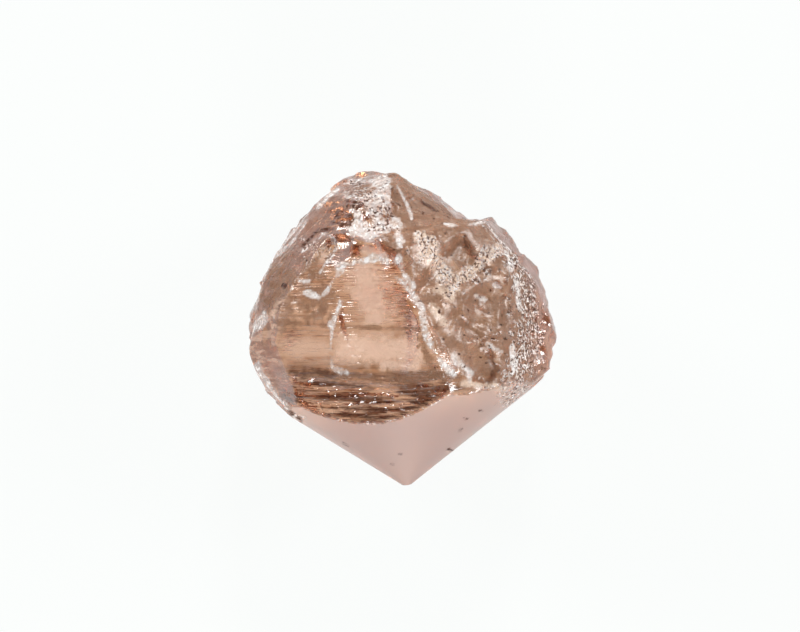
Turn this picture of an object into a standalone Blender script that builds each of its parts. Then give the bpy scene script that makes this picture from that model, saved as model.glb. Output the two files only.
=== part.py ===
"""A rough diamond of about 6 mm: one broken crystal with a smooth conical point.

The stone lies on its side on a flat cleavage face, as it would on a table. Its point is towards -Y,
and the broken faces that a picture from above shows look up (+Z). It is shaped in millimetres round
the foot of the cone's axis, then moved so that the origin is under its middle, and given in metres.
"""

import math

import bmesh
import bpy
from mathutils import Matrix, Vector, noise

METRES = 0.001

# The whole stone, in millimetres and degrees.
AXIS_HEIGHT = 2.2  # the cone's axis above the face that the stone rests on
BLOCK_SIDE = 12.0  # the rough block that every face is cut from

# The smooth cone and its blunt tip.
CONE_TIP = (0.09, -3.19, 0.0)  # where the cone's sides would meet
CONE_HALF_ANGLE = 55.0
CONE_LEAN = 3.5  # the axis leans this much towards -X
CONE_SIDES = 72
TIP_BLUNTING = 0.05

# The outer faces. Each has a point that it passes through, as x, y and the height above the cone's
# axis, then its normal's azimuth from +X towards +Y and its elevation above the table.
FACES = {
    "window": ((-0.94, 0.13, 2.40), 230.2, 64.9),
    "window_left": ((-2.00, 1.00, 2.09), 185.0, 70.0),
    "right_front": ((0.36, 0.31, 2.86), 10.3, 60.8),
    "right_block": ((1.55, 1.30, 2.02), 24.0, 56.0),
    "lower_front": ((1.02, -0.89, 2.63), 314.0, 48.7),
    "right_band": ((2.26, 0.00, 1.80), 3.0, 29.0),
    "right_band_high": ((1.98, 1.50, 1.64), 32.0, 33.0),
    "right_band_low": ((2.28, -1.00, 1.60), 336.0, 31.0),
    "top_break": ((-0.28, 3.06, 1.48), 92.0, 47.0),
    "top_left_break": ((-1.30, 2.10, 2.05), 128.0, 52.0),
    "striated_side": ((-1.98, 2.05, 1.15), 142.0, 30.0),
    "striated_edge": ((-2.20, 1.84, 0.70), 142.0, 14.0),
    "left_side": ((-2.62, 0.95, 1.30), 160.0, 31.0),
    "left_corner": ((-2.86, -0.05, 1.10), 178.0, 26.0),
    "pitted_strip": ((-2.72, -0.85, 0.95), 207.0, 27.0),
    "side_right_low": ((2.60, -1.18, -0.20), 318.0, 4.0),
    "side_right": ((2.96, -0.50, -0.60), 342.0, -4.0),
    "side_right_high": ((2.92, 0.48, -0.50), 18.0, 5.0),
    "side_right_top": ((2.14, 1.48, 0.80), 39.7, 8.0),
    "side_block": ((0.92, 2.80, 0.30), 58.0, 6.0),
    "side_top": ((-0.10, 3.03, 0.10), 72.0, -5.0),
    "side_top_left": ((-0.72, 3.02, 0.20), 106.0, 12.0),
    "side_left_high": ((-1.60, 2.58, 0.10), 129.0, -3.0),
    "side_left_mid": ((-2.30, 1.80, 0.20), 145.0, 0.0),
    "side_left": ((-2.78, 0.92, 0.10), 158.5, 0.0),
    "side_left_low": ((-3.02, 0.12, 0.20), 171.0, 6.0),
    "side_corner": ((-2.90, -0.80, 0.00), 198.0, -5.0),
    "side_pitted": ((-2.38, -1.56, 0.10), 225.0, 3.0),
    "under_right": ((2.45, 0.20, -1.20), 8.0, -38.0),
    "under_top": ((0.20, 2.55, -1.10), 80.0, -42.0),
    "under_left": ((-2.35, 1.10, -1.15), 150.0, -36.0),
    "under_corner": ((-2.40, -0.60, -1.30), 200.0, -44.0),
}

# Steps where a piece broke away: the step's floor first, then its risers, each given as a face is.
LEDGES = {
    "dome": (
        ((0.50, 1.97, 1.88), 62.0, 48.0),
        ((0.50, 1.97, 2.40), 97.8, 8.0),
        ((-0.25, 2.50, 2.00), 352.0, 15.0),
    ),
    "dome_side": (
        ((0.66, 2.52, 0.30), 52.0, 8.0),
        ((0.50, 1.97, 2.40), 97.8, 2.0),
    ),
    "right_lump": (((2.80, 0.10, 0.20), 8.0, 52.0), ((2.72, 0.10, 0.00), 2.0, 16.0)),
    "sandy_step": (
        ((1.02, 0.85, 2.34), 58.0, 62.0),
        ((0.60, 1.20, 2.50), 334.0, 24.0),
        ((1.62, 1.20, 2.00), 218.0, 30.0),
    ),
    "soft_step": (((0.95, -0.62, 2.50), 352.0, 60.0), ((1.00, -0.30, 2.40), 252.0, 25.0)),
    "right_ridge": (((2.06, 0.55, 1.72), 12.0, 42.0), ((2.06, 0.55, 1.72), 352.0, 12.0)),
}

# Shallow hollows: middle from above, three half-sizes (along the hollow, across it, and deep), the
# azimuth that the hollow runs along, then the azimuth and elevation of the slope that it lies in.
HOLLOWS = {
    "arch": ((-0.52, 0.35), (1.50, 0.80, 0.16), 95.0, (230.2, 64.9)),
    "frosted_shell": ((-0.62, 2.05), (0.62, 0.34, 0.18), 62.0, (92.0, 50.0)),
    "chipped_shell": ((-1.45, 1.45), (0.55, 0.36, 0.14), 35.0, (128.0, 55.0)),
    "dome_shell": ((0.42, 2.45), (0.52, 0.30, 0.12), 20.0, (75.4, 45.3)),
    "olive_shell": ((1.62, 0.25), (0.66, 0.42, 0.10), 80.0, (10.3, 60.8)),
    "lower_shell": ((1.55, -0.70), (0.55, 0.34, 0.09), 120.0, (330.0, 57.0)),
    "corner_chip": ((-2.70, -0.15), (0.34, 0.18, 0.10), 85.0, (178.0, 26.0)),
}

# Open cracks and the grooves between thin layers: both ends from above, then width and depth.
GROOVES = {
    "crack_low": ((-2.10, 1.82), (-1.58, 2.36), 0.07, 0.20),
    "crack_high": ((-1.70, 2.26), (-1.36, 2.64), 0.06, 0.18),
    "layer_1": ((-2.20, -1.12), (-0.70, -1.05), 0.06, 0.10),
    "layer_2": ((-1.90, -1.27), (0.40, -1.24), 0.07, 0.13),
    "layer_3": ((-1.60, -1.43), (0.10, -1.40), 0.06, 0.12),
    "layer_4": ((-1.50, -1.57), (0.30, -1.54), 0.06, 0.12),
    "layer_5": ((-2.60, 0.13), (-1.20, 0.16), 0.06, 0.07),
    "layer_6": ((-2.50, -0.06), (-0.90, -0.08), 0.05, 0.06),
}

# Round pits: middle from above, then radius.
PITS = (
    ((-2.24, -1.56), 0.09),
    ((-2.40, -1.40), 0.07),
    ((-2.06, -1.72), 0.07),
    ((1.12, -2.02), 0.05),
    ((-0.20, -2.72), 0.04),
)

# Chips along the sharp ridge between the window and the broken right half.
RIDGE = (
    (-0.34, 2.95), (-0.32, 2.73), (-0.14, 2.05), (-0.36, 1.65),
    (0.08, 0.85), (0.36, 0.31), (0.58, -0.39), (1.02, -0.89),
)
RIDGE_CHIPS = 18
CHIP_RADIUS = (0.06, 0.15)
CHIP_SEED = 11

# The skin is remade in even grains, pressed in where it is broken, then thinned to this many faces.
GRAIN = 0.055
TRIANGLES = 8000
SMOOTH_MARGIN = 0.03  # a point this near the cone or the resting face is left where it is

# The broken skin is a patchwork of small tilted faces. Its coarse and fine patches: size, then depth.
PATCHES = ((0.80, 0.20), (0.34, 0.10))
MEAN_PATCH = 0.45  # the part of a patch's depth that stands out of the flat face

# Broken faces that are calmer than the rest: middle and half-sizes from above.
CALM_FACES = {
    "dome": ((0.40, 2.55), (0.62, 0.50)),
    "dark_facet": ((0.92, 1.40), (0.26, 0.40)),
    "sandy_strip": ((0.70, 1.00), (0.26, 0.50)),
    "block_facet": ((1.72, 1.62), (0.40, 0.26)),
    "brown_facet": ((1.76, -0.78), (0.40, 0.30)),
    "soft_band": ((0.95, -0.60), (0.50, 0.26)),
}

# Thin layers that show as uneven steps along Y: on the window near the girdle, over the rest of the
# window, and in the stairs at the upper left. Thickness, then depth.
GIRDLE_LAYERS = (0.13, 0.06)
WINDOW_LAYERS = (0.21, 0.012)
STAIR_LAYERS = (0.15, 0.14)
GIRDLE_TOP = -0.95
STAIRS = ((-1.36, 2.25), (0.40, 0.38))  # middle and half-sizes from above

# Striations across the upper left side, which faces this way: spacing, then depth.
STRIATIONS = (0.13, 0.03)
STRIATED_AZIMUTH = 142.0
STRIATED_FROM = 2.35  # how far out from the cone's axis they start


def above_axis(point):
    """A point given from the cone's axis, as a place above the resting face."""
    return Vector((point[0], point[1], point[2] + AXIS_HEIGHT))


def direction(azimuth, elevation):
    around, up = math.radians(azimuth), math.radians(elevation)
    return Vector((math.cos(around) * math.cos(up), math.sin(around) * math.cos(up), math.sin(up)))


def cone_axis():
    lean = math.radians(CONE_LEAN)
    return Vector((-math.sin(lean), math.cos(lean), 0.0))


def cut_face(bm, point, normal):
    """Cuts away what lies beyond a plane and closes the cut with one flat face."""
    everything = bm.verts[:] + bm.edges[:] + bm.faces[:]
    cut = bmesh.ops.bisect_plane(
        bm, geom=everything, dist=1e-5, plane_co=point, plane_no=normal, clear_outer=True
    )
    rim = [item for item in cut["geom_cut"] if isinstance(item, bmesh.types.BMEdge)]
    if rim:
        bmesh.ops.contextual_create(bm, geom=rim)


def block():
    bm = bmesh.new()
    bmesh.ops.create_cube(bm, size=BLOCK_SIDE)
    bmesh.ops.translate(bm, verts=bm.verts, vec=(0, 0, AXIS_HEIGHT))
    return bm


def cut_cone(bm):
    """Cuts the smooth cone as a ring of narrow faces round its axis, and blunts its tip."""
    axis = cone_axis()
    upward = Vector((0, 0, 1))
    across = axis.cross(upward)
    slope = math.radians(CONE_HALF_ANGLE)
    tip = above_axis(CONE_TIP)
    for side in range(CONE_SIDES):
        turn = 2 * math.pi * (side + 0.5) / CONE_SIDES
        outward = across * math.cos(turn) + upward * math.sin(turn)
        cut_face(bm, tip, outward * math.cos(slope) - axis * math.sin(slope))
    cut_face(bm, tip + axis * TIP_BLUNTING, -axis)


def object_of(bm, name):
    """The mesh as an object of the scene."""
    mesh = bpy.data.meshes.new(name)
    bm.to_mesh(mesh)
    bm.free()
    made = bpy.data.objects.new(name, mesh)
    bpy.context.scene.collection.objects.link(made)
    return made


def ledge_cutter(faces):
    """What breaks away over a step: all of the block beyond the step's floor and its risers."""
    bm = block()
    for point, azimuth, elevation in faces:
        cut_face(bm, above_axis(point), -direction(azimuth, elevation))
    return bm


def skin_point(stone, place):
    """The point of the stone's skin that shows at a place seen from above."""
    found, point, _, _ = stone.ray_cast(Vector((place[0], place[1], BLOCK_SIDE)), Vector((0, 0, -1)))
    return point if found else Vector((place[0], place[1], BLOCK_SIDE))


def hollow_cutter(stone, place, half_sizes, azimuth, slope):
    """A flattened ball whose lower half lies in the face under it."""
    bm = bmesh.new()
    bmesh.ops.create_icosphere(bm, subdivisions=3, radius=1.0)
    bmesh.ops.scale(bm, vec=half_sizes, verts=bm.verts)
    up = direction(*slope)
    along = direction(azimuth, 0.0)
    along = (along - up * along.dot(up)).normalized()
    turn = Matrix((along, up.cross(along), up)).transposed()
    bmesh.ops.rotate(bm, matrix=turn, verts=bm.verts)
    bmesh.ops.translate(bm, verts=bm.verts, vec=skin_point(stone, place))
    return bm


def groove_cutter(stone, start, end, width, depth):
    """A ball drawn out along a groove, which runs out to nothing at both ends."""
    start, end = skin_point(stone, start), skin_point(stone, end)
    along = (end - start).normalized()
    bm = bmesh.new()
    bmesh.ops.create_icosphere(bm, subdivisions=2, radius=1.0)
    bmesh.ops.scale(bm, vec=((end - start).length / 2, width, depth), verts=bm.verts)
    bmesh.ops.rotate(bm, matrix=along.to_track_quat("X", "Z").to_matrix(), verts=bm.verts)
    bmesh.ops.translate(bm, verts=bm.verts, vec=(start + end) / 2)
    return bm


def ball_cutter(stone, place, radius, rise=0.0):
    bm = bmesh.new()
    bmesh.ops.create_icosphere(bm, subdivisions=2, radius=radius)
    bmesh.ops.translate(bm, verts=bm.verts, vec=skin_point(stone, place) + Vector((0, 0, rise)))
    return bm


def along_ridge(share):
    """A place on the ridge seen from above, from 0 at its top to 1 at its foot."""
    place = share * (len(RIDGE) - 1)
    first = min(int(place), len(RIDGE) - 2)
    return Vector(RIDGE[first]).lerp(Vector(RIDGE[first + 1]), place - first)


def cut_away(stone, cutter_mesh):
    """Cuts one shape from the stone."""
    cutter = object_of(cutter_mesh, "cutter")
    remake(stone, "BOOLEAN", operation="DIFFERENCE", object=cutter)
    bpy.data.objects.remove(cutter)


def remake(stone, kind, **settings):
    """Puts a modifier on the stone and keeps the mesh that comes of it."""
    modifier = stone.modifiers.new("remake", kind)
    for name, value in settings.items():
        setattr(modifier, name, value)
    graph = bpy.context.evaluated_depsgraph_get()
    made = bpy.data.meshes.new_from_object(stone.evaluated_get(graph))
    stone.modifiers.remove(modifier)
    stone.data = made


def break_away(stone):
    """Cuts every ledge, hollow, groove, pit and chip from the stone, one after another."""
    for faces in LEDGES.values():
        cut_away(stone, ledge_cutter(faces))
    for hollow in HOLLOWS.values():
        cut_away(stone, hollow_cutter(stone, *hollow))
    for groove in GROOVES.values():
        cut_away(stone, groove_cutter(stone, *groove))
    for place, radius in PITS:
        cut_away(stone, ball_cutter(stone, place, radius))
    noise.seed_set(CHIP_SEED)
    for chip in range(RIDGE_CHIPS):
        radius = CHIP_RADIUS[0] + (CHIP_RADIUS[1] - CHIP_RADIUS[0]) * noise.random()
        place = along_ridge((chip + noise.random()) / RIDGE_CHIPS)
        place += noise.random_unit_vector(size=2) * radius * 0.5
        cut_away(stone, ball_cutter(stone, place, radius, rise=0.6 * radius))


def depth_in_cone(point):
    """How far a point lies inside the cone's surface."""
    from_tip = point - above_axis(CONE_TIP)
    along = from_tip.dot(cone_axis())
    out = (from_tip - cone_axis() * along).length
    slope = math.radians(CONE_HALF_ANGLE)
    return along * math.sin(slope) - out * math.cos(slope)


def step_up(value, middle, width):
    """Goes from 0 to 1 as the value passes the middle."""
    return 0.5 + 0.5 * math.tanh((value - middle) / width)


def within(point, area):
    """How far a point is into an oval seen from above: 1 at its middle, fading out past its edge."""
    middle, half_sizes = area
    across, along = [(point[i] - middle[i]) / half_sizes[i] for i in range(2)]
    return math.exp(-(across**2) - along**2)


def patch_depth(point, size):
    """How deep a point lies in a patchwork of faces, each flat and tilted its own way: about 0 to 1."""
    place = point / size
    nearest = noise.voronoi(place)[1][0]
    tilt = noise.noise_vector(nearest * 7.3) * 1.2
    return max(0.0, 0.5 + 0.3 * noise.noise(nearest * 3.7) + tilt.dot(place - nearest))


def layers(distance, thickness, wobble):
    """A saw-toothed wave from 0 to 1 with uneven teeth."""
    return (distance / thickness + wobble) % 1.0


def skin_depth(point):
    """How far the skin at a point is pressed in: nothing on the cone and the resting face."""
    smooth = min(depth_in_cone(point), point.z)
    if smooth < SMOOTH_MARGIN:
        return 0.0
    right = step_up(point.x - 0.36 + 0.55 * (point.y - 0.31), 0.08, 0.06)
    top = step_up(point.y + 0.25 * point.x, 1.25, 0.12)
    under = 1.0 - step_up(point.z, AXIS_HEIGHT + 0.4, 0.3)
    flank = step_up(point.dot(direction(STRIATED_AZIMUTH, 0.0)), STRIATED_FROM, 0.05) * (1.0 - under)
    window = (1.0 - right) * (1.0 - top) * (1.0 - under)
    girdle = window * (1.0 - step_up(point.y, GIRDLE_TOP, 0.08))
    stairs = within(point, STAIRS) * (1.0 - under)

    broken = max(right, top * 0.7, under) * (1.0 - 0.8 * max(flank, stairs))
    broken *= 1.0 - 0.75 * max(within(point, face) for face in CALM_FACES.values())
    depth = sum(deep * (patch_depth(point, size) - MEAN_PATCH) for size, deep in PATCHES) * broken
    wobble = noise.noise(point / 0.9)
    for share, kind in ((girdle, GIRDLE_LAYERS), (window, WINDOW_LAYERS), (stairs, STAIR_LAYERS)):
        depth += share * kind[1] * layers(point.y, kind[0], 1.2 * wobble)
    across = point.z + 0.25 * wobble
    depth += flank * STRIATIONS[1] * layers(across, STRIATIONS[0], 0.8 * noise.noise(point / 0.5))
    return min(1.0, (smooth - SMOOTH_MARGIN) / 0.15) * depth


def roughen(bm):
    """Presses the broken skin in."""
    bm.normal_update()
    moves = [vert.normal * -skin_depth(vert.co) for vert in bm.verts]
    for vert, move in zip(bm.verts, moves):
        vert.co += move
        vert.co.z = max(vert.co.z, 0.0)


def settle(bm):
    """Puts the origin under the middle of the stone, and turns millimetres into metres."""
    for vert in bm.verts:
        if vert.co.z < SMOOTH_MARGIN:
            vert.co.z = 0.0
    lowest = [min(vert.co[i] for vert in bm.verts) for i in range(2)]
    highest = [max(vert.co[i] for vert in bm.verts) for i in range(2)]
    middle = Vector(((lowest[0] + highest[0]) / 2, (lowest[1] + highest[1]) / 2, 0.0))
    bmesh.ops.translate(bm, verts=bm.verts, vec=-middle)
    bmesh.ops.scale(bm, vec=(METRES,) * 3, verts=bm.verts)


def diamond_material():
    """Clear pinkish brown diamond, duller where it is broken."""
    material = bpy.data.materials.new("diamond")
    material.use_nodes = True
    shader = material.node_tree.nodes["Principled BSDF"]
    shader.inputs["Base Color"].default_value = (0.78, 0.56, 0.45, 1.0)
    shader.inputs["Roughness"].default_value = 0.25
    shader.inputs["Metallic"].default_value = 0.0
    shader.inputs["Transmission Weight"].default_value = 1.0
    shader.inputs["IOR"].default_value = 2.417
    return material


def main():
    for old in list(bpy.data.objects):
        bpy.data.objects.remove(old)
    bm = block()
    cut_face(bm, Vector((0, 0, 0)), Vector((0, 0, -1)))
    for point, azimuth, elevation in FACES.values():
        cut_face(bm, above_axis(point), direction(azimuth, elevation))
    cut_cone(bm)
    stone = object_of(bm, "rough_diamond")
    break_away(stone)
    remake(stone, "REMESH", mode="VOXEL", voxel_size=GRAIN)
    bm = bmesh.new()
    bm.from_mesh(stone.data)
    roughen(bm)
    bm.to_mesh(stone.data)
    bm.free()
    count = sum(len(face.vertices) - 2 for face in stone.data.polygons)
    remake(stone, "DECIMATE", ratio=TRIANGLES / count, use_collapse_triangulate=True)
    bm = bmesh.new()
    bm.from_mesh(stone.data)
    settle(bm)
    bm.to_mesh(stone.data)
    bm.free()
    stone.data.materials.clear()
    stone.data.materials.append(diamond_material())


main()
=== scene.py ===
"""The looks of a rough diamond of about 6 mm, seen from straight above on a plain white table."""

import math

import bmesh
import bpy
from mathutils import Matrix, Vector, noise
import numpy as np


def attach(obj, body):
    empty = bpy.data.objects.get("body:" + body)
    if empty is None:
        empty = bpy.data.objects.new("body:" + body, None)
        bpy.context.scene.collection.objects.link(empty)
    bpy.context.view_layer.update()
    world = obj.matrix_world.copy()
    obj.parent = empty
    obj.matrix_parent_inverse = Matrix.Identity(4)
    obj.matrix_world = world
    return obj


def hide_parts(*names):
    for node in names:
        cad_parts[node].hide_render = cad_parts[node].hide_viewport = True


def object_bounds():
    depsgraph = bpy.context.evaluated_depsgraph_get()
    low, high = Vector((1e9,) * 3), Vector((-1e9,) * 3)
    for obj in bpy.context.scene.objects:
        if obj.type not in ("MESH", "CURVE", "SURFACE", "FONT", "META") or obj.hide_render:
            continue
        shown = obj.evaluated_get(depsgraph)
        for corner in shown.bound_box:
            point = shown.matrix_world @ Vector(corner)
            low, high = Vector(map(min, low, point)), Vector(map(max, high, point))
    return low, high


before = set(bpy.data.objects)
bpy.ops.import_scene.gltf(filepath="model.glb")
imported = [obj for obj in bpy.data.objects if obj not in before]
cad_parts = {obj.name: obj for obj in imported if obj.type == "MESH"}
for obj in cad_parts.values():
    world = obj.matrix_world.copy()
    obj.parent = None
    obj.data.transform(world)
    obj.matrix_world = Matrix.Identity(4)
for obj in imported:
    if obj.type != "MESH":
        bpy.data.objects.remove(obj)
cad_low, cad_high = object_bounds()
MM = 0.001


# The table and the light. The stone lies on a glowing white table inside a pale tent, as small
# stones do when they are pictured one by one: no edge and hardly a shadow shows. The tent is darker
# overhead, where the camera looks in. Four soft lamps, set low around it, make the glints.
TENT_LOW = (1.00, 0.95, 0.90)  # its brightness at the table
TENT_HIGH = (0.05, 0.042, 0.038)  # and straight above
TABLE_SIZE = 3.0
TABLE_GAP = 0.00002  # it lies this much under the stone, so that the two faces never share a plane

world = bpy.data.worlds.new("tent")
bpy.context.scene.world = world
world.use_nodes = True
sky = world.node_tree
sky.nodes.clear()
sky_out = sky.nodes.new("ShaderNodeOutputWorld")
sky_light = sky.nodes.new("ShaderNodeBackground")
sky_place = sky.nodes.new("ShaderNodeTexCoord")
sky_split = sky.nodes.new("ShaderNodeSeparateXYZ")
sky_ramp = sky.nodes.new("ShaderNodeValToRGB")
sky_ramp.color_ramp.elements[0].position = 0.12
sky_ramp.color_ramp.elements[0].color = (*TENT_LOW, 1)
sky_ramp.color_ramp.elements[1].position = 0.50
sky_ramp.color_ramp.elements[1].color = (*TENT_HIGH, 1)
sky.links.new(sky_place.outputs["Generated"], sky_split.inputs[0])
sky.links.new(sky_split.outputs["Z"], sky_ramp.inputs["Fac"])
sky.links.new(sky_ramp.outputs["Color"], sky_light.inputs["Color"])
sky.links.new(sky_light.outputs[0], sky_out.inputs["Surface"])

table_mesh = bmesh.new()
bmesh.ops.create_grid(table_mesh, x_segments=1, y_segments=1, size=TABLE_SIZE / 2)
table_data = bpy.data.meshes.new("table")
table_mesh.to_mesh(table_data)
table_mesh.free()
table = bpy.data.objects.new("table", table_data)
table.location.z = -TABLE_GAP
bpy.context.scene.collection.objects.link(table)
table_white = bpy.data.materials.new("table_white")
table_white.use_nodes = True
table_shader = table_white.node_tree.nodes["Principled BSDF"]
table_shader.inputs["Base Color"].default_value = (0.05, 0.05, 0.05, 1)
table_shader.inputs["Roughness"].default_value = 1.0
table_shader.inputs["Emission Color"].default_value = (0.955, 0.975, 0.965, 1)
table_shader.inputs["Emission Strength"].default_value = 0.95
table_data.materials.append(table_white)


def lamp(name, place, size, watts):
    """A square soft lamp that faces the stone."""
    light = bpy.data.lights.new(name, "AREA")
    light.size = size
    light.energy = watts
    lamp_object = bpy.data.objects.new(name, light)
    lamp_object.location = place
    lamp_object.rotation_mode = "QUATERNION"
    lamp_object.rotation_quaternion = (-Vector(place)).to_track_quat("-Z", "Y")
    bpy.context.scene.collection.objects.link(lamp_object)
    return lamp_object


lamp("left_lamp", (-0.12, 0.08, 0.07), 0.05, 0.12)
lamp("right_lamp", (0.12, 0.04, 0.08), 0.05, 0.10)
lamp("far_lamp", (0.02, 0.13, 0.09), 0.03, 0.10)
lamp("near_lamp", (0.01, -0.135, 0.045), 0.05, 0.14)


# The camera looks straight down at the stone, as the photograph does. It stands far enough back,
# on a long lens, for the stone to look nearly as drawn: 16 mm across the picture at mid height.
CAMERA_HEIGHT = 0.150
VIEW_WIDTH = 0.016
VIEW_PLANE = 0.0022
VIEW_MIDDLE = (-0.00005, 0.00023)

camera_data = bpy.data.cameras.new("camera")
camera_data.sensor_width = 36.0
camera_data.lens = camera_data.sensor_width * (CAMERA_HEIGHT - VIEW_PLANE) / VIEW_WIDTH
camera_data.clip_start = 0.001
camera = bpy.data.objects.new("camera", camera_data)
camera.location = (VIEW_MIDDLE[0], VIEW_MIDDLE[1], CAMERA_HEIGHT)
bpy.context.scene.collection.objects.link(camera)
bpy.context.scene.camera = camera
scene = bpy.context.scene
scene.view_settings.view_transform = "Standard"
scene.cycles.max_bounces = 12
scene.cycles.transmission_bounces = 12
scene.cycles.glossy_bounces = 8
scene.cycles.use_denoising = True
scene.cycles.caustics_refractive = True
scene.cycles.caustics_reflective = True


# The stone. It is one crystal of diamond, pinkish brown and see-through. Its point is a smooth,
# worn cone. The rest is broken: a glassy window at the left, a sharp ridge beside it, and etched,
# glittery faces at the right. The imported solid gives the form. Its skin is remade here in fine
# grains, and the small relief is pressed into them.
GRAIN = 0.041  # in millimetres, as are all the sizes in this section
CONE_TIP = Vector((0.0855, cad_low.y / MM - 0.048, 2.2))
CONE_HALF_ANGLE = math.radians(55.0)
CONE_LEAN = math.radians(3.5)
CONE_AXIS = Vector((-math.sin(CONE_LEAN), math.cos(CONE_LEAN), 0.0))
CONE_REACH = 0.025  # skin this near the cone belongs to it
CONE_END = -0.5  # the cone is all on the near side of this
REST_REACH = 0.02  # and skin this low is the face that the stone rests on
SIDE_FACES = Vector((-0.788, 0.616, 0.0))  # the way that the striated side at the upper left faces
SHARP_EDGE = 35  # degrees, past which an edge between two grains shows
MARKED_ABOVE = 2.3  # the marks are on the skin above this

# The marks that show from above, as lines in plan: points, spread to each side, then strength.
# White bruises and chipped edges: partly frosted wear, partly painted highlights where the faces catch
# the lamps.
WHITE_WEAR_AND_HIGHLIGHTS = (
    (((-0.95, 2.13), (-0.78, 1.85)), 0.15, 1.0),
    (((-0.72, 1.80), (-0.44, 1.95)), 0.12, 1.0),
    (((-0.72, 2.50), (-0.55, 2.30)), 0.13, 0.8),
    (((-0.92, 2.40), (-0.86, 2.10)), 0.07, 0.9),
    (((-1.12, 2.62), (-0.95, 2.60)), 0.05, 0.8),
    (((-1.17, 2.10), (-1.02, 1.98)), 0.06, 0.9),
    (((-0.75, 2.95), (-0.40, 2.92), (-0.45, 2.65)), 0.09, 0.6),
    (((-0.35, 3.05), (-0.31, 2.75), (-0.22, 2.30), (-0.08, 1.92), (-0.05, 1.70)), 0.06, 0.8),
    (((-1.30, 1.17), (-1.17, 1.26), (-1.00, 1.24), (-0.82, 1.33), (-0.56, 1.37)), 0.045, 1.0),
    (((-1.28, 1.18), (-1.22, 1.20)), 0.06, 1.0),
    (((-0.95, 1.28), (-0.80, 1.31)), 0.06, 1.0),
    (((-0.35, 1.39), (-0.22, 1.09), (-0.04, 0.91), (0.13, 0.74)), 0.06, 0.9),
    (((-0.12, 1.28), (0.02, 1.05), (0.18, 0.82)), 0.08, 1.0),
    (((0.13, 0.74), (0.35, 0.39), (0.43, 0.00), (0.56, -0.39), (0.82, -0.73), (1.04, -0.93)), 0.05, 1.0),
    (((-1.22, 0.50), (-1.30, 0.30), (-1.37, 0.05)), 0.05, 0.8),
    (((-1.37, 0.05), (-1.43, -0.47), (-1.39, -0.78)), 0.025, 0.6),
    (((-1.30, -0.84), (-1.08, -0.90)), 0.06, 0.6),
    (((-1.95, 0.70), (-1.80, 0.66), (-1.65, 0.60)), 0.03, 0.8),
    (((-2.02, 0.92), (-1.84, 0.91)), 0.02, 1.0),
    (((-2.90, 0.02), (-2.72, 0.18)), 0.09, 0.8),
    (((-2.70, 1.22), (-2.95, 0.40)), 0.05, 0.6),
    (((-2.91, -0.78), (-2.47, -1.40), (-2.04, -1.82)), 0.06, 0.7),
    (((-2.60, 1.35), (-1.95, 2.20), (-1.20, 2.86), (-0.50, 3.12)), 0.055, 0.8),
    (((1.73, 2.08), (2.04, 1.61), (2.17, 1.17)), 0.045, 1.0),
    (((2.28, 0.91), (2.30, 0.39)), 0.04, 0.9),
    (((2.17, -0.40), (2.20, -0.86)), 0.05, 0.8),
    (((1.65, -0.30), (1.80, -0.42), (2.00, -0.48)), 0.035, 0.7),
    (((1.45, 0.63), (1.62, 0.55)), 0.03, 0.5),
    (((1.80, 0.85), (1.98, 0.78)), 0.03, 0.6),
    (((1.00, -0.60), (1.35, -0.88)), 0.09, 0.5),
    (((-0.09, 2.78), (0.06, 2.48), (0.20, 2.17)), 0.03, 0.6),
    (((0.85, 2.05), (1.20, 2.00), (1.70, 2.13)), 0.03, 0.6),
    (((-1.61, 1.10), (-1.30, 1.57)), 0.03, 0.7),
    (((-1.56, 0.65), (-1.26, 1.09)), 0.035, 0.6),
    (((-1.65, 1.93), (-1.30, 1.68)), 0.03, 0.7),
    (((-1.98, 1.52), (-1.60, 1.80)), 0.03, 0.6),
)
# Painted light, where the stone shines pale as if lit from within: the shell under the arch, the
# window's foot, thin layers and two strips.
PAINTED_GLOW = (
    (((-0.75, 1.00), (-0.55, 0.35)), 0.36, 0.9),
    (((-1.10, -0.40), (0.30, -0.46)), 0.30, 1.0),
    (((-0.35, -0.72), (0.25, -0.75)), 0.14, 1.0),
    (((-2.40, -0.35), (-1.60, -0.40)), 0.20, 0.5),
    (((-0.72, 1.52), (-0.45, 1.42)), 0.12, 0.9),
    (((0.35, 1.78), (0.75, 1.25), (1.05, 0.83)), 0.13, 1.0),
    (((1.05, 0.85), (1.40, 1.15), (1.90, 1.58)), 0.11, 0.9),
    (((-1.90, 1.62), (-1.55, 1.38)), 0.14, 0.7),
)
# Browner glass, and painted shade beside the ridge.
BROWN_AND_SHADE = (
    (((-2.40, 1.05), (-2.45, 0.40)), 0.36, 1.0),
    (((-1.90, 1.05), (-1.70, 0.42)), 0.30, 1.0),
    (((-2.55, 0.09), (-1.42, 0.07)), 0.035, 1.0),
    (((-2.50, 0.24), (-1.45, 0.20)), 0.025, 0.8),
    (((-1.20, 0.02), (0.35, -0.02)), 0.030, 0.7),
    (((-2.00, -0.92), (-0.60, -1.00), (0.90, -0.98)), 0.09, 0.8),
    # painted shade beside the ridge
    (((-0.20, 2.75), (-0.02, 2.30), (0.15, 2.05)), 0.09, 0.8),
    (((0.20, 2.70), (1.20, 2.15)), 0.34, 0.8),
    (((1.15, 1.72), (1.75, 1.62)), 0.22, 1.0),
    (((-0.30, 1.65), (0.10, 1.45), (0.25, 1.20)), 0.10, 0.9),
    (((0.80, 1.60), (0.95, 1.05)), 0.08, 0.9),
    (((1.20, 0.52), (1.90, 0.42), (2.10, 0.00), (1.30, -0.05)), 0.28, 1.0),
    (((1.25, 0.92), (1.70, 0.85), (2.05, 1.20)), 0.16, 0.6),
    (((0.95, 1.78), (1.60, 1.88)), 0.14, 0.6),
    (((1.35, -1.05), (2.05, -1.12)), 0.08, 1.0),
    (((1.50, -0.78), (2.05, -0.75)), 0.16, 0.9),
    (((0.75, 0.25), (0.80, -0.30), (1.20, -0.50)), 0.16, 0.7),
    (((0.40, -0.25), (0.60, -0.92), (1.20, -1.15)), 0.08, 0.8),
)
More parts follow.
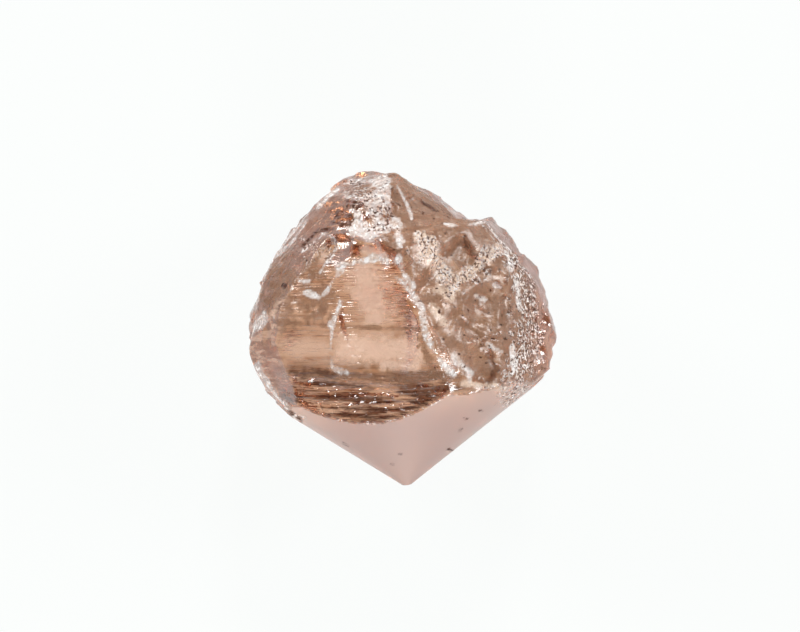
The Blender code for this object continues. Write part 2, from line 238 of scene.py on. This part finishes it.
# Open cracks, dark layers and specks. The dark in the cracks and in the steps at the upper left is
# painted shade; the rest is the stone's own colour.
DARK_AND_SHADE = (
    (((-1.97, 1.64), (-1.70, 1.91), (-1.39, 1.97)), 0.028, 1.0),
    (((-1.18, 2.29), (-1.08, 2.43)), 0.028, 1.0),
    (((-1.30, 2.27), (-1.02, 2.22)), 0.030, 1.0),
    (((-1.33, 2.17), (-1.00, 2.12)), 0.030, 1.0),
    (((-1.38, 2.07), (-1.05, 2.03)), 0.030, 1.0),
    (((-1.10, 2.51), (-0.80, 2.46)), 0.022, 0.8),
    (((-1.08, 2.41), (-0.84, 2.37)), 0.022, 0.8),
    (((0.39, 2.50), (0.65, 2.33)), 0.025, 0.7),
    (((-2.20, -0.90), (-1.65, -0.82), (-1.35, -0.95)), 0.05, 0.6),
    (((-2.15, -1.05), (-1.20, -1.14), (-0.55, -1.20)), 0.04, 0.5),
    (((-0.04, -1.25), (0.20, -1.30), (0.50, -1.31)), 0.045, 0.9),
    (((0.13, -1.46), (0.45, -1.51)), 0.035, 0.8),
    (((-1.90, -1.34), (-0.90, -1.42), (-0.20, -1.38)), 0.025, 0.5),
    (((-1.40, -1.58), (-0.40, -1.64), (0.30, -1.58)), 0.025, 0.7),
    (((-1.25, -1.72), (-0.50, -1.78), (0.10, -1.70)), 0.028, 0.8),
    (((-2.10, -1.45), (-2.06, -1.50)), 0.045, 1.0),
    (((-2.22, -1.68), (-2.20, -1.71)), 0.040, 1.0),
    (((-2.06, -1.80), (-2.02, -1.85)), 0.035, 1.0),
    (((-2.36, 0.84), (-2.32, 0.82)), 0.025, 0.9),
    (((1.12, -2.02), (1.15, -2.03)), 0.030, 1.0),
    (((0.91, -2.42), (1.06, -2.49)), 0.022, 1.0),
    (((1.22, -1.79), (1.26, -1.80)), 0.022, 0.9),
    (((1.52, -1.64), (1.56, -1.65)), 0.020, 0.9),
    (((-1.18, -2.30), (-1.08, -2.35)), 0.030, 0.5),
    (((-0.05, -2.50), (-0.02, -2.51)), 0.018, 0.8),
    (((-0.21, -2.71), (-0.18, -2.72)), 0.018, 0.8),
)
# Granular strips, where two etched faces meet beside the ridge.
SANDY = (
    (((0.38, 1.72), (0.62, 1.35), (0.85, 1.02), (1.02, 0.84)), 0.15, 1.0),
    (((1.06, 0.86), (1.40, 1.15), (1.90, 1.58)), 0.10, 0.9),
    (((0.75, 0.80), (0.95, 0.60)), 0.10, 0.6),
    (((0.62, 0.40), (0.80, 0.10)), 0.08, 0.5),
    (((1.20, -1.08), (2.00, -1.20)), 0.06, 0.5),
)
# Calm faces of the broken half, with hardly any relief.
CALM = (
    (((0.15, 2.70), (0.75, 2.45), (1.20, 2.15)), 0.36, 1.0),
    (((0.88, 1.62), (0.95, 1.10)), 0.16, 1.0),
    (((1.20, 1.85), (1.75, 1.75)), 0.22, 0.9),
    (((1.30, 0.80), (1.95, 0.85)), 0.22, 0.8),
    (((1.15, 0.30), (1.85, 0.20)), 0.30, 0.3),
    (((0.75, 0.10), (1.10, -0.60)), 0.22, 0.7),
    (((1.50, -0.75), (2.00, -0.78)), 0.18, 1.0),
)
# The etched band down the right edge, and a few smaller places that glitter too.
GLITTER = (
    (((1.95, 2.00), (2.38, 1.20), (2.52, 0.40), (2.47, -0.60), (2.15, -1.32)), 0.20, 1.0),
    (((-0.95, 2.70), (-0.55, 2.55), (-0.45, 2.05)), 0.18, 0.6),
    (((-1.90, 1.62), (-1.45, 1.55)), 0.16, 0.5),
    (((0.40, 1.70), (1.05, 0.83), (1.90, 1.55)), 0.14, 0.6),
)


def depth_in_cone(point):
    """How far a point lies inside the cone's surface."""
    from_tip = point - CONE_TIP
    along = from_tip.dot(CONE_AXIS)
    out = (from_tip - CONE_AXIS * along).length
    return along * math.sin(CONE_HALF_ANGLE) - out * math.cos(CONE_HALF_ANGLE)


def step_up(value, middle, width):
    """0 below the middle and 1 above it, with a soft step of about this width."""
    return 0.5 + 0.5 * math.tanh((value - middle) / width)


def patches(point, size, seed):
    """A patchwork of flat faces, each tilted its own way: about 0 to 1."""
    place = point / size
    nearest = noise.voronoi(place)[1][0]
    spot = nearest * 7.3 + Vector((seed, 0, 0))
    tilt = Vector([noise.noise(spot + Vector((0, 0, 9.3 * axis))) for axis in range(3)]) * 1.2
    return max(0.0, 0.5 + 0.3 * noise.noise(nearest * 3.7) + tilt.dot(place - nearest))


def cover(places, ragged, marks):
    """How much a set of marks covers each place in plan: 0 to 1, with ragged edges."""
    most = np.zeros(len(places))
    for line, spread, strength in marks:
        near = np.full(len(places), 9.0)
        for start, end in zip(np.array(line), np.array(line)[1:]):
            along = end - start
            share = np.clip((places - start) @ along / (along @ along), 0, 1)
            near = np.minimum(near, np.linalg.norm(places - start - share[:, None] * along, axis=1))
        most = np.maximum(most, strength * np.clip(1.4 - near / spread + ragged, 0, 1))
    return most


def zones(point):
    """How much a point of the skin belongs to each kind of surface."""
    smooth = min(depth_in_cone(point), point.z)
    broken = min(1.0, max(0.0, (smooth - CONE_REACH) / 0.06))
    above = step_up(point.z, 2.6, 0.3)
    wander = 0.12 * noise.noise(point / 0.4)
    # The right half lies beyond the ridge, which slants through this point of the plan.
    right = step_up(point.x - 0.36 + 0.55 * (point.y - 0.31) + wander, 0.06, 0.05)
    top = step_up(point.y + 0.25 * point.x + wander, 1.15, 0.10)
    side = step_up(-point.x + 1.5 * wander, 2.46, 0.15)
    window = (1 - right) * (1 - top) * above * broken * (1 - side)
    flank = step_up(point.dot(SIDE_FACES), 2.25, 0.04) * above * broken
    return {
        "right": right * above * broken,
        "top": top * above * broken * (1 - 0.8 * flank),
        "window": window,
        "under": (1 - above) * broken,
        "girdle": window * (1 - step_up(point.y, -0.75, 0.15)),
        "flank": flank,
        "left": side * (1 - flank) * above * broken,
        "cone": 1 - broken,
    }


def relief(point, zone, etched, calm):
    """How far the fine relief presses the skin in."""
    rough = max(zone["right"], 0.9 * zone["top"], 0.8 * zone["under"], 0.4 * zone["left"])
    if rough + zone["window"] + zone["flank"] == 0.0:
        return 0.0
    rough *= 1 - 0.85 * calm
    depth = rough * (0.028 * patches(point, 0.26, 0) + 0.012 * patches(point, 0.11, 5))
    depth += 0.026 * etched * patches(point, 0.09, 3)
    depth += 0.010 * zone["window"] * noise.noise(point / 0.40)
    bend = noise.noise(point / 0.8)
    depth += 0.020 * zone["girdle"] * ((point.y / 0.08 + 0.9 * bend) % 1.0)
    depth += 0.012 * zone["flank"] * ((point.dot(SIDE_FACES) / 0.075 + 0.5 * bend) % 1.0)
    return depth


cad_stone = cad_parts["rough_diamond"]
skin = bmesh.new()
skin.from_mesh(cad_stone.data)
bmesh.ops.remove_doubles(skin, verts=skin.verts, dist=1e-8)
bmesh.ops.scale(skin, vec=(1 / MM,) * 3, verts=skin.verts)
stone_data = bpy.data.meshes.new("crystal")
skin.to_mesh(stone_data)
skin.free()
stone = bpy.data.objects.new("crystal", stone_data)
bpy.context.scene.collection.objects.link(stone)
grains = stone.modifiers.new("grains", "REMESH")
grains.mode = "VOXEL"
grains.voxel_size = GRAIN
now = bpy.context.evaluated_depsgraph_get()
stone_data = bpy.data.meshes.new_from_object(stone.evaluated_get(now))
stone.modifiers.clear()
stone.data = stone_data
stone_data.name = "crystal"

skin = bmesh.new()
skin.from_mesh(stone_data)
skin.normal_update()
kinds = [zones(vert.co) for vert in skin.verts]
plan = np.array([vert.co.to_2d() for vert in skin.verts])
seen = np.array([step_up(vert.co.z, MARKED_ABOVE, 0.12) for vert in skin.verts])
large_bends = np.array([noise.noise(vert.co / 0.2) for vert in skin.verts])
small_bends = np.array([noise.noise(vert.co / 0.08) for vert in skin.verts])
ragged = 0.7 * large_bends + 0.6 * small_bends
faint = np.array([1.8 * noise.noise(vert.co / 0.33) for vert in skin.verts])
for name in kinds[0]:
    layer = skin.verts.layers.float.new(name)
    for vert, zone in zip(skin.verts, kinds):
        vert[layer] = zone[name]
TORN = {  # how far the edges of each kind of mark wander
    "white": 0.5,
    "peach": 0.6,
    "brown": 1.8,
    "dark": 1.0,
    "glitter": 1.8,
    "sandy": 1.0,
    "calm": 1.8,
}
all_marks = {
    "white": WHITE_WEAR_AND_HIGHLIGHTS,
    "peach": PAINTED_GLOW,
    "brown": BROWN_AND_SHADE,
    "dark": DARK_AND_SHADE,
    "glitter": GLITTER,
    "sandy": SANDY,
    "calm": CALM,
}
for name, marks in all_marks.items():
    layer = skin.verts.layers.float.new(name)
    edges = TORN[name] * ragged
    if name == "white":
        edges += faint
    for vert, value in zip(skin.verts, seen * cover(plan, edges, marks)):
        vert[layer] = value
etched = skin.verts.layers.float["glitter"]
calm = skin.verts.layers.float["calm"]
moves = [
    vert.normal * -relief(vert.co, zone, vert[etched], vert[calm])
    for vert, zone in zip(skin.verts, kinds)
]
for vert, move in zip(skin.verts, moves):
    vert.co += move
    depth = depth_in_cone(vert.co)
    if abs(depth) < CONE_REACH and vert.co.y < CONE_END:
        from_tip = vert.co - CONE_TIP
        along = from_tip.dot(CONE_AXIS)
        outward = (from_tip - CONE_AXIS * along).normalized()
        vert.co = CONE_TIP + CONE_AXIS * along + outward * along * math.tan(CONE_HALF_ANGLE)
    if vert.co.z < REST_REACH:
        vert.co.z = 0.0
bmesh.ops.scale(skin, vec=(MM,) * 3, verts=skin.verts)
for face in skin.faces:
    face.smooth = True
skin.to_mesh(stone_data)
stone_data.set_sharp_from_angle(angle=math.radians(SHARP_EDGE))

diamond = bpy.data.materials.new("diamond")
diamond.use_nodes = True
tree = diamond.node_tree
shader = tree.nodes["Principled BSDF"]
shader.inputs["Transmission Weight"].default_value = 1.0
shader.inputs["IOR"].default_value = 2.417
shader.inputs["Coat Roughness"].default_value = 0.7
shader.inputs["Coat IOR"].default_value = 3.0
absorb = tree.nodes.new("ShaderNodeVolumeAbsorption")
absorb.inputs["Color"].default_value = (0.92, 0.55, 0.27, 1)
absorb.inputs["Density"].default_value = 215.0
tree.links.new(absorb.outputs[0], tree.nodes["Material Output"].inputs["Volume"])


def mask(tree, name):
    """The share of a kind of surface or mark, from the mesh."""
    node = tree.nodes.new("ShaderNodeAttribute")
    node.attribute_name = name
    return node.outputs["Fac"]


def drawn_out(tree, stretch, turn):
    """Places on the stone in millimetres, turned about the upright and then pressed together."""
    place = tree.nodes.new("ShaderNodeTexCoord")
    drawn = tree.nodes.new("ShaderNodeMapping")
    drawn.vector_type = "TEXTURE"
    drawn.inputs["Rotation"].default_value = (0, 0, math.radians(turn))
    drawn.inputs["Scale"].default_value = [MM / side for side in stretch]
    tree.links.new(place.outputs["Object"], drawn.inputs["Vector"])
    return drawn


def shards(tree, scale, stretch, turn, low, high):
    """A patchwork of sharp-edged pieces, each with its own value from 0 to 1."""
    drawn = drawn_out(tree, stretch, turn)
    pieces = tree.nodes.new("ShaderNodeTexVoronoi")
    pieces.inputs["Scale"].default_value = scale
    tree.links.new(drawn.outputs[0], pieces.inputs["Vector"])
    split = tree.nodes.new("ShaderNodeSeparateColor")
    tree.links.new(pieces.outputs["Color"], split.inputs[0])
    spread = tree.nodes.new("ShaderNodeMapRange")
    spread.inputs["From Min"].default_value = low
    spread.inputs["From Max"].default_value = high
    tree.links.new(split.outputs[0], spread.inputs["Value"])
    return spread.outputs[0]


def speckle(tree, scale, detail, stretch, low, high, turn=0.0):
    """A cloudy pattern of values from 0 to 1, drawn out along an axis if stretch says so."""
    drawn = drawn_out(tree, stretch, turn)
    cloud = tree.nodes.new("ShaderNodeTexNoise")
    cloud.inputs["Scale"].default_value = scale
    cloud.inputs["Detail"].default_value = detail
    cloud.inputs["Roughness"].default_value = 0.6
    tree.links.new(drawn.outputs[0], cloud.inputs["Vector"])
    spread = tree.nodes.new("ShaderNodeMapRange")
    spread.inputs["From Min"].default_value = low
    spread.inputs["From Max"].default_value = high
    tree.links.new(cloud.outputs["Fac"], spread.inputs["Value"])
    return spread.outputs[0]


def math_of(tree, operation, first, second):
    """Two values put together, each a number or a socket. All but sums stay within 0 and 1."""
    node = tree.nodes.new("ShaderNodeMath")
    node.operation = operation
    node.use_clamp = operation != "ADD"
    for socket, value in zip(node.inputs, (first, second)):
        if isinstance(value, (int, float)):
            socket.default_value = value
        else:
            tree.links.new(value, socket)
    return node.outputs[0]


def tinted(tree, under, colour, share):
    """A colour laid over another where the share says."""
    node = tree.nodes.new("ShaderNodeMix")
    node.data_type = "RGBA"
    tree.links.new(share, node.inputs["Factor"])
    if isinstance(under, tuple):
        node.inputs["A"].default_value = (*under, 1)
    else:
        tree.links.new(under, node.inputs["A"])
    if isinstance(colour, tuple):
        node.inputs["B"].default_value = (*colour, 1)
    else:
        tree.links.new(colour, node.inputs["B"])
    return node.outputs["Result"]


def bumped(tree, shader, height, distance):
    """Gives a shader a bump of this depth, in millimetres."""
    raised = tree.nodes.new("ShaderNodeBump")
    raised.inputs["Distance"].default_value = distance * MM
    tree.links.new(height, raised.inputs["Height"])
    tree.links.new(raised.outputs[0], shader.inputs["Normal"])


# The tints go from large to small, each laid over the ones before it.
tint = tinted(tree, (1.00, 0.80, 0.56), (1.00, 0.92, 0.95), mask(tree, "window"))
tint = tinted(tree, tint, (0.82, 0.64, 0.53), mask(tree, "left"))
tint = tinted(tree, tint, (0.55, 0.37, 0.26), mask(tree, "right"))
tint = tinted(tree, tint, (0.80, 0.64, 0.53), mask(tree, "top"))
broken = math_of(tree, "MAXIMUM", mask(tree, "right"), mask(tree, "top"))
broken = math_of(tree, "MULTIPLY", broken, math_of(tree, "SUBTRACT", 1.0, mask(tree, "calm")))
pale_bits = math_of(tree, "MULTIPLY", broken, shards(tree, 2.6, (1.0, 1.9, 1.0), 25.0, 0.50, 0.75))
tint = tinted(tree, tint, (0.90, 0.74, 0.62), pale_bits)
dark_bits = math_of(tree, "MULTIPLY", broken, shards(tree, 3.4, (1.7, 1.0, 1.0), 40.0, 0.62, 0.85))
tint = tinted(tree, tint, (0.30, 0.185, 0.13), dark_bits)
grooved = speckle(tree, 1.0, 1.0, (11.0, 0.7, 1.0), 0.46, 0.60, 142.0)
tint = tinted(tree, tint, (0.40, 0.24, 0.17), math_of(tree, "MULTIPLY", mask(tree, "flank"), grooved))
glassy = math_of(tree, "MAXIMUM", mask(tree, "window"), mask(tree, "left"))
bands = math_of(tree, "MULTIPLY", glassy, speckle(tree, 1.0, 1.0, (0.5, 3.2, 1.0), 0.50, 0.66))
tint = tinted(tree, tint, (0.50, 0.33, 0.24), bands)
fine = math_of(tree, "MULTIPLY", glassy, speckle(tree, 1.0, 2.0, (0.9, 14.0, 3.0), 0.52, 0.62))
tint = tinted(tree, tint, (0.50, 0.32, 0.22), fine)
# Painted light: the peach places are paler, as if lit from within.
tint = tinted(tree, tint, (1.00, 0.95, 0.88), mask(tree, "peach"))
# Browner glass, and painted shade beside the ridge.
tint = tinted(tree, tint, (0.30, 0.18, 0.125), mask(tree, "brown"))
streaks = speckle(tree, 1.0, 2.0, (0.8, 9.0, 3.0), 0.40, 0.54)
streaks = math_of(tree, "MULTIPLY", mask(tree, "girdle"), streaks)
tint = tinted(tree, tint, (0.08, 0.032, 0.018), streaks)
tree.links.new(tint, shader.inputs["Base Color"])

# The cone is satin under a dull coat, and the window is nearly polished.
satin = math_of(tree, "ADD", 0.12, math_of(tree, "MULTIPLY", mask(tree, "cone"), 0.20))
satin = math_of(tree, "ADD", satin, math_of(tree, "MULTIPLY", mask(tree, "right"), 0.14))
satin = math_of(tree, "ADD", satin, math_of(tree, "MULTIPLY", mask(tree, "calm"), 0.12))
satin = math_of(tree, "SUBTRACT", satin, math_of(tree, "MULTIPLY", mask(tree, "window"), 0.07))
tree.links.new(satin, shader.inputs["Roughness"])
veil = math_of(tree, "MULTIPLY", mask(tree, "cone"), 0.42)
tree.links.new(veil, shader.inputs["Coat Weight"])

gritty = math_of(tree, "MAXIMUM", mask(tree, "glitter"), math_of(tree, "MULTIPLY", broken, 0.2))
grit = math_of(tree, "MULTIPLY", speckle(tree, 20.0, 1.0, (1, 1, 1), 0.3, 0.7), gritty)
lines = speckle(tree, 2.0, 1.0, (0.6, 16.0, 4.0), 0.3, 0.7)
lines = math_of(tree, "MULTIPLY", lines, math_of(tree, "MULTIPLY", mask(tree, "window"), 0.5))
bumped(tree, shader, math_of(tree, "ADD", grit, lines), 0.016)
stone_data.materials.clear()
stone_data.materials.append(diamond)
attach(stone, "root")
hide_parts("rough_diamond")


# The bruises, stains and painted light. Along the ridge, the chipped edges and the etched band, the
# crystal is ground to a white crust of tiny flakes, brightened by painted highlights and glints.
# Elsewhere it has brown stains, sand, cracks or pits, partly painted shade, and peach painted light
# where it seems lit from within. It is all one thin skin of the stone's own faces, and the clear
# crystal shows through it.
CRUST = 0.005  # in millimetres
BARE = 0.04  # a face that is marked less than this has no skin
OVERLAID = ("white", "glitter", "sandy", "dark", "brown", "peach", "right", "left", "flank")
flakes = skin
marked = [flakes.verts.layers.float[name] for name in OVERLAID]
bare = [
    face for face in flakes.faces
    if max(vert[layer] for vert in face.verts for layer in marked) < BARE
]
bmesh.ops.delete(flakes, geom=bare, context="FACES")
flakes.normal_update()
for vert in flakes.verts:
    vert.co += vert.normal * CRUST * MM
flakes_data = bpy.data.meshes.new("bruises")
flakes.to_mesh(flakes_data)
flakes.free()
bruises = bpy.data.objects.new("bruises", flakes_data)
bpy.context.scene.collection.objects.link(bruises)
bruises.visible_shadow = False  # so thin a crust hardly shades the crystal, and this saves time

skin_and_painted_light = bpy.data.materials.new("crushed_diamond_and_painted_light")
skin_and_painted_light.use_nodes = True
tree = skin_and_painted_light.node_tree
shader = tree.nodes["Principled BSDF"]
shader.inputs["Roughness"].default_value = 0.6
shader.inputs["IOR"].default_value = 1.2

# First how much of each mark shows, then the colours. A mark that shows only in part has its full
# colour there, so the shares are scaled up before the colours are laid over each other.
# The white of the crust, for both its frosted wear and its painted highlights.
shade = speckle(tree, 9.0, 2.0, (1, 1, 1), 0.42, 0.62)
crust_and_painted_light = tinted(tree, (0.97, 0.955, 0.95), (0.76, 0.66, 0.60), shade)
# Brown stains on the flank, the right half and the brown places. Beside the ridge they are painted
# shade, and on the right half they are painted darker, as painted shade in place of the shade that the
# crust does not cast.
stain_and_shade_cover = math_of(tree, "MULTIPLY", mask(tree, "flank"), 0.42)
stain_and_shade_cover = math_of(tree, "MAXIMUM", math_of(tree, "MULTIPLY", mask(tree, "right"), 0.95), stain_and_shade_cover)
stain_and_shade_cover = math_of(tree, "MAXIMUM", mask(tree, "brown"), stain_and_shade_cover)
# White wear: frosted flakes, and painted highlights where the faces catch the lamps.
wear_and_highlight = mask(tree, "white")
haze = math_of(tree, "MULTIPLY", wear_and_highlight, 0.6)
gaps = speckle(tree, 14.0, 2.0, (1, 1, 1), 0.42, 0.58)
whole = math_of(tree, "SUBTRACT", math_of(tree, "MULTIPLY", wear_and_highlight, 1.5), gaps)
# Painted glints: white flecks over the etched band.
painted_glints = speckle(tree, 17.0, 2.0, (1, 1, 1), 0.50, 0.56)
painted_glints = math_of(tree, "MULTIPLY", mask(tree, "glitter"), painted_glints)
shown = math_of(tree, "MAXIMUM", math_of(tree, "MAXIMUM", haze, whole), painted_glints)
sand_grains = math_of(tree, "MULTIPLY", speckle(tree, 15.0, 2.0, (1, 1, 1), 0.50, 0.58), 0.4)
sand_grains = math_of(tree, "ADD", 0.50, sand_grains)
sand = math_of(tree, "MULTIPLY", mask(tree, "sandy"), sand_grains)
blotches = speckle(tree, 2.6, 3.0, (1, 2.4, 1), 0.38, 0.60)
stain_and_shade_alpha = math_of(tree, "ADD", 0.46, math_of(tree, "MULTIPLY", blotches, 0.34))
stain_and_shade_alpha = math_of(tree, "MULTIPLY", stain_and_shade_cover, stain_and_shade_alpha)
stain_and_shade_colour = tinted(tree, (0.43, 0.265, 0.18), (0.29, 0.165, 0.105), blotches)
# Painted light: a pale peach layer where the stone shines as if lit from within.
painted_glow = math_of(tree, "MULTIPLY", mask(tree, "peach"), 0.52)
skin_colour = tinted(tree, (1.00, 0.73, 0.60), stain_and_shade_colour, math_of(tree, "MULTIPLY", stain_and_shade_cover, 4.0))
skin_colour = tinted(tree, skin_colour, (0.93, 0.75, 0.61), math_of(tree, "MULTIPLY", sand, 4.0))
layers = speckle(tree, 1.0, 2.0, (0.9, 9.0, 2.0), 0.42, 0.58)
layered = math_of(tree, "MULTIPLY", mask(tree, "left"), 0.42)
layer_colour = tinted(tree, (0.92, 0.66, 0.51), (0.36, 0.21, 0.145), layers)
skin_colour = tinted(tree, skin_colour, layer_colour, math_of(tree, "MULTIPLY", layered, 5.0))
crust_and_painted_light = tinted(tree, skin_colour, crust_and_painted_light, math_of(tree, "MULTIPLY", shown, 4.0))
pits = speckle(tree, 18.0, 1.0, (1.1, 1, 1), 0.57, 0.61)
pits = math_of(tree, "MULTIPLY", mask(tree, "glitter"), pits)
dots = speckle(tree, 9.0, 2.0, (1, 1.2, 1), 0.66, 0.69)
dots = math_of(tree, "MULTIPLY", mask(tree, "right"), dots)
pits = math_of(tree, "MAXIMUM", pits, dots)
# Dark marks: painted shade in the cracks and steps, and the stone's own specks and pits.
dark = math_of(tree, "MAXIMUM", mask(tree, "dark"), pits)
dark_marks_and_shade = math_of(tree, "MULTIPLY", dark, 8.0)
tree.links.new(tinted(tree, crust_and_painted_light, (0.075, 0.032, 0.020), dark_marks_and_shade), shader.inputs["Base Color"])
coloured = math_of(tree, "MAXIMUM", sand, math_of(tree, "MAXIMUM", stain_and_shade_alpha, painted_glow))
shown = math_of(tree, "MAXIMUM", shown, coloured)
torn = math_of(tree, "MULTIPLY", speckle(tree, 1.0, 2.0, (5.0, 18.0, 6.0), 0.42, 0.56), 0.9)
torn = math_of(tree, "ADD", 0.2, torn)
shown = math_of(tree, "MAXIMUM", shown, math_of(tree, "MULTIPLY", mask(tree, "dark"), torn))
shown = math_of(tree, "MAXIMUM", shown, pits)
shown = math_of(tree, "MAXIMUM", shown, layered)
tree.links.new(shown, shader.inputs["Alpha"])
bumped(tree, shader, speckle(tree, 14.0, 1.0, (1, 1, 1), 0.3, 0.7), 0.02)
flakes_data.materials.append(skin_and_painted_light)
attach(bruises, "root")
